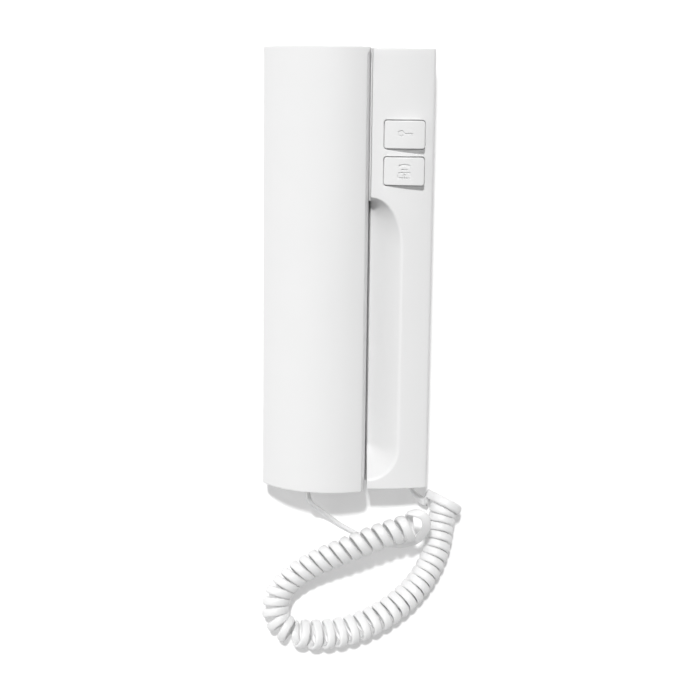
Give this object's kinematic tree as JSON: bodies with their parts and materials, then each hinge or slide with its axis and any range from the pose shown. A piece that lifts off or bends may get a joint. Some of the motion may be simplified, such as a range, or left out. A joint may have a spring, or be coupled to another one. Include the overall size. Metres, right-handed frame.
{
  "type": "slimline wall phone",
  "caption": "Slim door-entry wall phone: a full-length handset beside a narrow console with a door-release key, a call key and a finger recess, joined by a curly cord.",
  "frame": {"origin": "centre of the phone's flat back, which lies against the wall; the cord is left out of the centre", "axes": "+Z out of the phone's face, +Y towards its top end, +X to the right as one faces it (handset left, console right)"},
  "size_m": [0.101, 0.3061, 0.0388],
  "materials": {
    "white_plastic": "satin injection-moulded ABS",
    "white_key": "satin injection-moulded ABS",
    "white_cord": "soft satin PVC",
    "grey_white_plastic": "matt injection-moulded ABS",
    "board_green": "solder-masked glass-epoxy board",
    "black_plastic": "matt moulded plastic",
    "terminal_green": "satin moulded plastic",
    "stem_plastic": "satin moulded plastic",
    "black_rubber": "matt rubber",
    "zinc_steel": "bright zinc-plated steel"
  },
  "bodies": {
    "base": {"base_front_housing": "white_plastic", "base_back_plate": "grey_white_plastic", "housing_screw": "zinc_steel", "circuit_board": "board_green", "board_screw_1": "zinc_steel", "board_screw_2": "zinc_steel", "board_screw_3": "zinc_steel", "board_screw_4": "zinc_steel", "door_switch": "black_plastic", "call_switch": "black_plastic", "hook_pin": "zinc_steel", "hook_spring": "zinc_steel", "hook_switch": "black_plastic", "ringer_buzzer": "black_plastic", "terminal_block": "terminal_green", "terminal_screw_1": "zinc_steel", "terminal_screw_2": "zinc_steel", "terminal_screw_3": "zinc_steel", "terminal_screw_4": "zinc_steel", "terminal_screw_5": "zinc_steel", "capacitor_1": "black_plastic", "capacitor_2": "black_plastic", "transistor": "black_plastic", "base_strain_relief": "white_cord", "handset_lead": "white_cord", "curly_cord": "white_cord", "base_lead": "white_cord"},
    "handset": {"handset_front_cover": "white_plastic", "handset_inner_cover": "white_plastic", "earpiece_capsule": "zinc_steel", "earpiece_gasket": "black_rubber", "microphone_capsule": "zinc_steel", "microphone_grommet": "black_rubber", "handset_screw_1": "zinc_steel", "handset_screw_2": "zinc_steel", "handset_strain_relief": "white_cord"},
    "hook_lever": {"hook_lever": "grey_white_plastic"},
    "door_button": {"door_button": "white_key", "door_switch_stem": "stem_plastic"},
    "call_button": {"call_button": "white_key", "call_switch_stem": "stem_plastic"}
  },
  "joints": [
    {"name": "handset_lift", "type": "slide", "parent": "base", "child": "handset", "axis": [0, 0, 1], "range_m": [0, 0.05]},
    {"name": "hook_lever_pivot", "type": "hinge", "parent": "base", "child": "hook_lever", "pos_m": [0, 0.038, 0.0083], "axis": [-1, 0, 0], "range_deg": [0, 4], "stiffness_Nm_per_rad": 0.02, "springref_deg": 20.05},
    {"name": "door_button_press", "type": "slide", "parent": "base", "child": "door_button", "axis": [0, 0, -1], "range_m": [0, 0.0008], "stiffness_N_per_m": 1500},
    {"name": "call_button_press", "type": "slide", "parent": "base", "child": "call_button", "axis": [0, 0, -1], "range_m": [0, 0.0008], "stiffness_N_per_m": 1500}
  ],
  "couplings": [
    {"joint": "hook_lever_pivot", "follows": "handset_lift", "rad_per_m": 1.39}
  ]
}
